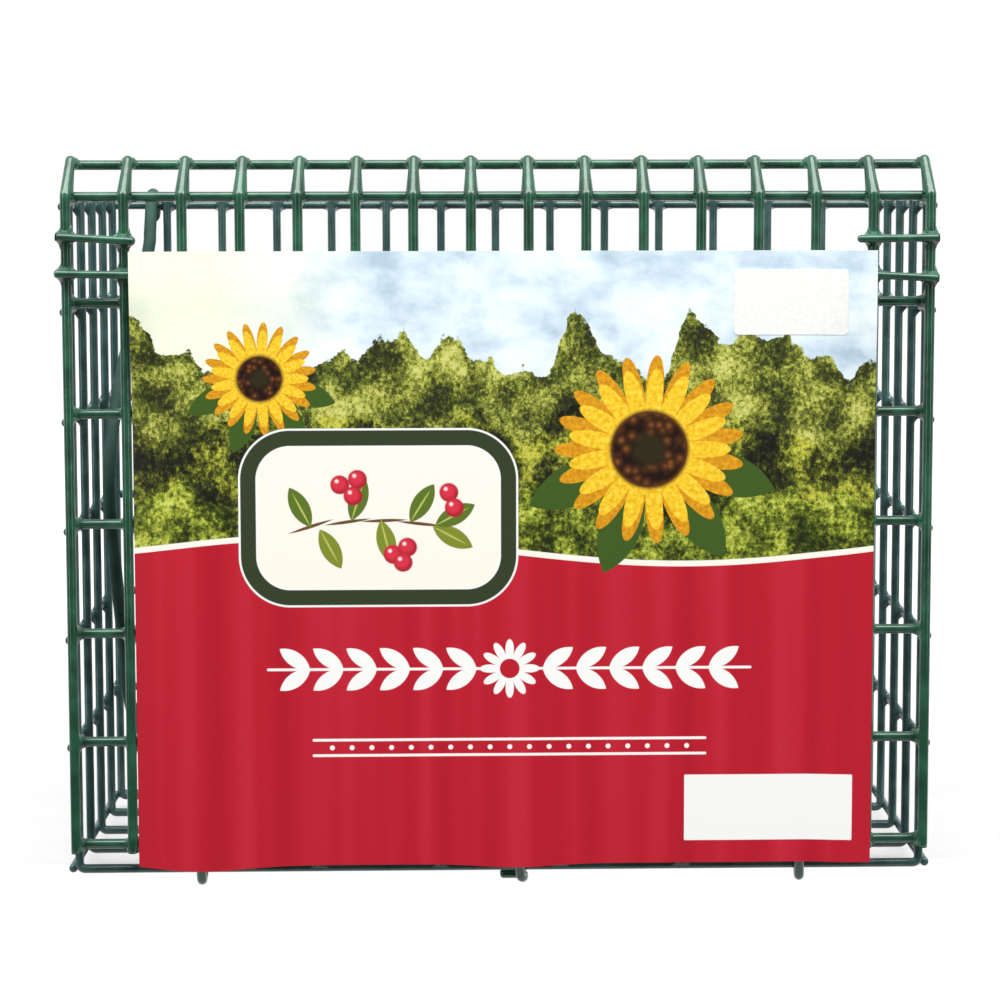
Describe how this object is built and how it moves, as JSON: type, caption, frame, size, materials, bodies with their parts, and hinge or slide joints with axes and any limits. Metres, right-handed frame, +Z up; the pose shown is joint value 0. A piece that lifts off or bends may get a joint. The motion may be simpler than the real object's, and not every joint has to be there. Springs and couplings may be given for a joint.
{
  "type": "suet feeder",
  "caption": "Cage feeder of green coated welded wire for suet cakes, with an open top, a front door hinged along the bottom, a printed card on the door and a cable hanger.",
  "frame": {"origin": "middle of the bounding box in x and y, at the height of the lowest point, which is the underside of the hinge hooks", "axes": "+X to the right along the door's hinge, +Y from the door towards the back of the basket, +Z up"},
  "size_m": [0.1968, 0.0698, 0.1649],
  "materials": {
    "green_coating": "deep green plastic dip coat over steel wire, smooth and glossy",
    "cable_sheath": "dark green smooth sheath over cable",
    "printed_card": "glossy printed card"
  },
  "bodies": {
    "basket": {"basket_loop_1": "green_coating", "basket_loop_2": "green_coating", "basket_loop_3": "green_coating", "basket_loop_4": "green_coating", "basket_loop_5": "green_coating", "basket_hoop_1": "green_coating", "basket_hoop_2": "green_coating", "basket_hoop_3": "green_coating", "basket_hoop_4": "green_coating", "basket_hoop_5": "green_coating", "basket_hoop_6": "green_coating", "basket_hoop_7": "green_coating", "basket_back_wire_01": "green_coating", "basket_back_wire_02": "green_coating", "basket_back_wire_03": "green_coating", "basket_back_wire_04": "green_coating", "basket_back_wire_05": "green_coating", "basket_back_wire_06": "green_coating", "basket_back_wire_07": "green_coating", "basket_back_wire_08": "green_coating", "basket_back_wire_09": "green_coating", "basket_back_wire_10": "green_coating", "basket_back_wire_11": "green_coating", "basket_back_wire_12": "green_coating", "basket_back_wire_13": "green_coating", "hanger_turn": "cable_sheath", "hanger_cable": "cable_sheath", "hanger_eye": "cable_sheath"},
    "door": {"door_upright_01": "green_coating", "door_upright_02": "green_coating", "door_upright_03": "green_coating", "door_upright_04": "green_coating", "door_upright_05": "green_coating", "door_upright_06": "green_coating", "door_upright_07": "green_coating", "door_upright_08": "green_coating", "door_upright_09": "green_coating", "door_upright_10": "green_coating", "door_upright_11": "green_coating", "door_upright_12": "green_coating", "door_upright_13": "green_coating", "door_upright_14": "green_coating", "door_upright_15": "green_coating", "door_upright_16": "green_coating", "door_bar_1": "green_coating", "door_bar_2": "green_coating", "door_bar_3": "green_coating", "door_bar_4": "green_coating", "door_bar_5": "green_coating", "door_bar_6": "green_coating", "door_bar_7": "green_coating", "door_ridge_bar": "green_coating", "door_stub_left_upper": "green_coating", "door_stub_left_lower": "green_coating", "door_stub_right_upper": "green_coating", "door_stub_right_lower": "green_coating", "door_hook_left": "green_coating", "door_hook_middle": "green_coating", "door_hook_right": "green_coating", "door_card": "printed_card"}
  },
  "joints": [
    {"name": "door_hinge", "type": "hinge", "parent": "basket", "child": "door", "pos_m": [0, -0.02648, 0.00375], "axis": [1, 0, 0], "range_deg": [0, 175]}
  ]
}
